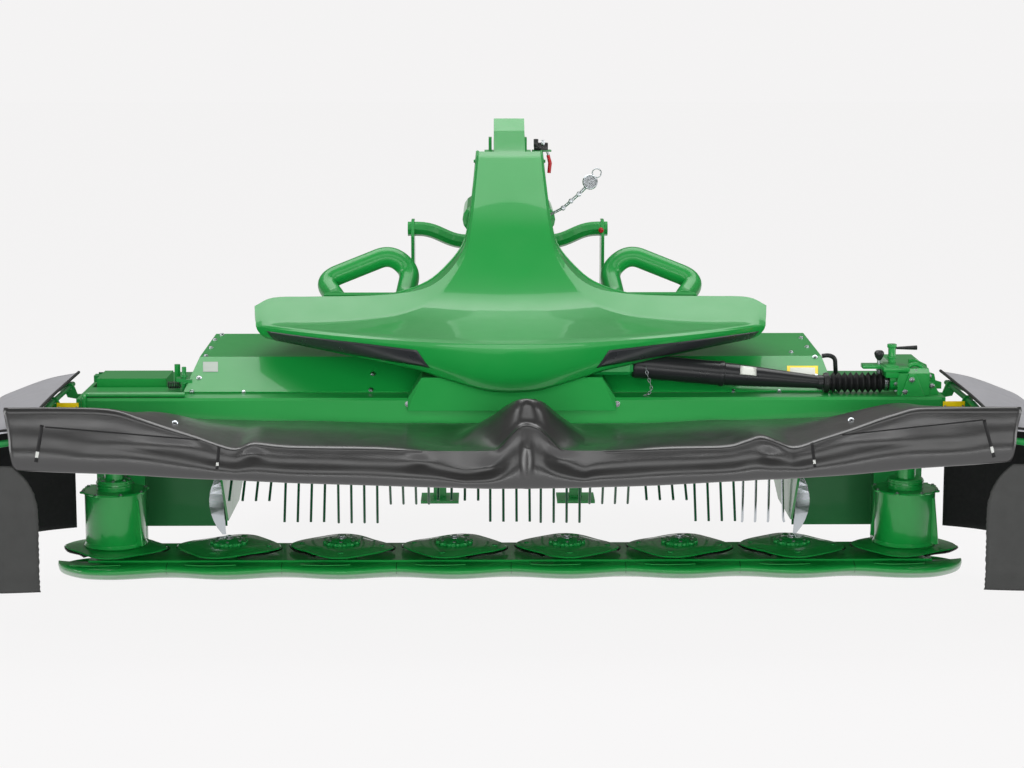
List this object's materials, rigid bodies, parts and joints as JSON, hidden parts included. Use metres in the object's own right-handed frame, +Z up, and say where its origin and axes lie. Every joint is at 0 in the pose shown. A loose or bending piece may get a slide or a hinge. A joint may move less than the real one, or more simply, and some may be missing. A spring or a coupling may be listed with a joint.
{
  "type": "front-mounted disc mower conditioner",
  "caption": "Front-mounted disc mower with a tined conditioner under a flared shield, cloth guards round its front and sides, a three-point headstock and folding guards.",
  "frame": {"origin": "on the floor at the centre of the box around the parked machine", "axes": "+X to the right for someone facing the machine's front, along the cutterbar; +Y back towards the headstock; +Z up"},
  "size_m": [3.582, 2.22, 1.54],
  "materials": {
    "green_paint": "gloss",
    "dark_green_paint": "gloss",
    "coated_cloth": "satin",
    "black_plastic": "satin",
    "black_rubber": "matt",
    "polished_steel": "polished"
  },
  "bodies": {
    "frame": {"cutterbar": "green_paint", "skid_plate": "green_paint", "front_beam": "green_paint", "conditioner_hood": "green_paint", "carrier_box": "green_paint", "carrier_frame": "green_paint", "mast": "green_paint", "shield": "green_paint", "headstock": "green_paint", "gearbox_centre": "dark_green_paint", "side_gearbox": "green_paint", "height_adjuster": "green_paint", "left_bearing_box": "green_paint", "drive_guard": "black_plastic", "drive_bellows": "black_rubber", "input_shaft": "black_plastic", "latch_rod": "green_paint", "side_wall_left": "green_paint", "side_wall_right": "green_paint", "leg_left": "green_paint", "leg_right": "green_paint", "deflector_left": "green_paint", "deflector_right": "green_paint", "deflector_edge_left": "polished_steel", "deflector_edge_right": "polished_steel", "arm_tube_left": "green_paint", "arm_tube_right": "green_paint", "wing_bracket_left": "green_paint", "wing_bracket_right": "green_paint", "relief_cover_left": "green_paint", "relief_cover_right": "green_paint", "guard_lugs_left": "green_paint", "guard_lugs_right": "green_paint"},
    "disc_1": {"disc_1": "green_paint", "drum_left": "green_paint"},
    "disc_2": {"disc_2": "green_paint"},
    "disc_3": {"disc_3": "green_paint"},
    "disc_4": {"disc_4": "green_paint"},
    "disc_5": {"disc_5": "green_paint"},
    "disc_6": {"disc_6": "green_paint"},
    "disc_7": {"disc_7": "green_paint"},
    "disc_8": {"disc_8": "green_paint", "drum_right": "green_paint"},
    "rotor": {"tine_rotor": "dark_green_paint"},
    "front_guard": {"front_guard_frame": "dark_green_paint", "front_curtain": "coated_cloth", "front_cover": "coated_cloth"},
    "side_guard_left": {"side_frame_left": "dark_green_paint", "side_canopy_left": "coated_cloth", "side_curtain_left": "coated_cloth"},
    "swath_gate_left": {"swath_gate_left": "green_paint"},
    "stand_left": {"stand_left": "dark_green_paint"},
    "side_guard_right": {"side_frame_right": "dark_green_paint", "side_canopy_right": "coated_cloth", "side_curtain_right": "coated_cloth"},
    "swath_gate_right": {"swath_gate_right": "green_paint"},
    "stand_right": {"stand_right": "dark_green_paint"}
  },
  "joints": [
    {"name": "disc_1_spin", "type": "hinge", "parent": "frame", "child": "disc_1", "pos_m": [-1.365, -0.22, 0.0905], "axis": [0, 0, 1], "continuous": true},
    {"name": "disc_2_spin", "type": "hinge", "parent": "frame", "child": "disc_2", "pos_m": [-0.975, -0.22, 0.0905], "axis": [0, 0, 1], "continuous": true},
    {"name": "disc_3_spin", "type": "hinge", "parent": "frame", "child": "disc_3", "pos_m": [-0.585, -0.22, 0.0905], "axis": [0, 0, 1], "continuous": true},
    {"name": "disc_4_spin", "type": "hinge", "parent": "frame", "child": "disc_4", "pos_m": [-0.195, -0.22, 0.0905], "axis": [0, 0, 1], "continuous": true},
    {"name": "disc_5_spin", "type": "hinge", "parent": "frame", "child": "disc_5", "pos_m": [0.195, -0.22, 0.0905], "axis": [0, 0, 1], "continuous": true},
    {"name": "disc_6_spin", "type": "hinge", "parent": "frame", "child": "disc_6", "pos_m": [0.585, -0.22, 0.0905], "axis": [0, 0, 1], "continuous": true},
    {"name": "disc_7_spin", "type": "hinge", "parent": "frame", "child": "disc_7", "pos_m": [0.975, -0.22, 0.0905], "axis": [0, 0, 1], "continuous": true},
    {"name": "disc_8_spin", "type": "hinge", "parent": "frame", "child": "disc_8", "pos_m": [1.365, -0.22, 0.0905], "axis": [0, 0, 1], "continuous": true},
    {"name": "rotor_spin", "type": "hinge", "parent": "frame", "child": "rotor", "pos_m": [0, 0.16, 0.37], "axis": [1, 0, 0], "continuous": true},
    {"name": "front_guard_fold", "type": "hinge", "parent": "frame", "child": "front_guard", "pos_m": [0, -0.605, 0.602], "axis": [-1, 0, 0], "range_deg": [0, 60]},
    {"name": "side_guard_fold_left", "type": "hinge", "parent": "frame", "child": "side_guard_left", "pos_m": [-1.5, -0.22, 0.665], "axis": [0, 1, 0], "range_deg": [0, 90]},
    {"name": "side_guard_fold_right", "type": "hinge", "parent": "frame", "child": "side_guard_right", "pos_m": [1.5, -0.22, 0.665], "axis": [0, -1, 0], "range_deg": [0, 90]},
    {"name": "swath_gate_turn_left", "type": "hinge", "parent": "frame", "child": "swath_gate_left", "pos_m": [-1.011, 0.755, 0.34], "axis": [0, 0, -1], "range_deg": [-15, 25]},
    {"name": "swath_gate_turn_right", "type": "hinge", "parent": "frame", "child": "swath_gate_right", "pos_m": [1.011, 0.755, 0.34], "axis": [0, 0, 1], "range_deg": [-15, 25]},
    {"name": "stand_slide_left", "type": "slide", "parent": "frame", "child": "stand_left", "axis": [0, 0, 1], "range_m": [0, 0.22]},
    {"name": "stand_slide_right", "type": "slide", "parent": "frame", "child": "stand_right", "axis": [0, 0, 1], "range_m": [0, 0.22]}
  ],
  "couplings": [
    {"joint": "disc_2_spin", "follows": "disc_1_spin", "ratio": -1},
    {"joint": "disc_3_spin", "follows": "disc_1_spin", "ratio": 1},
    {"joint": "disc_4_spin", "follows": "disc_1_spin", "ratio": -1},
    {"joint": "disc_5_spin", "follows": "disc_1_spin", "ratio": 1},
    {"joint": "disc_6_spin", "follows": "disc_1_spin", "ratio": -1},
    {"joint": "disc_7_spin", "follows": "disc_1_spin", "ratio": 1},
    {"joint": "disc_8_spin", "follows": "disc_1_spin", "ratio": -1}
  ]
}
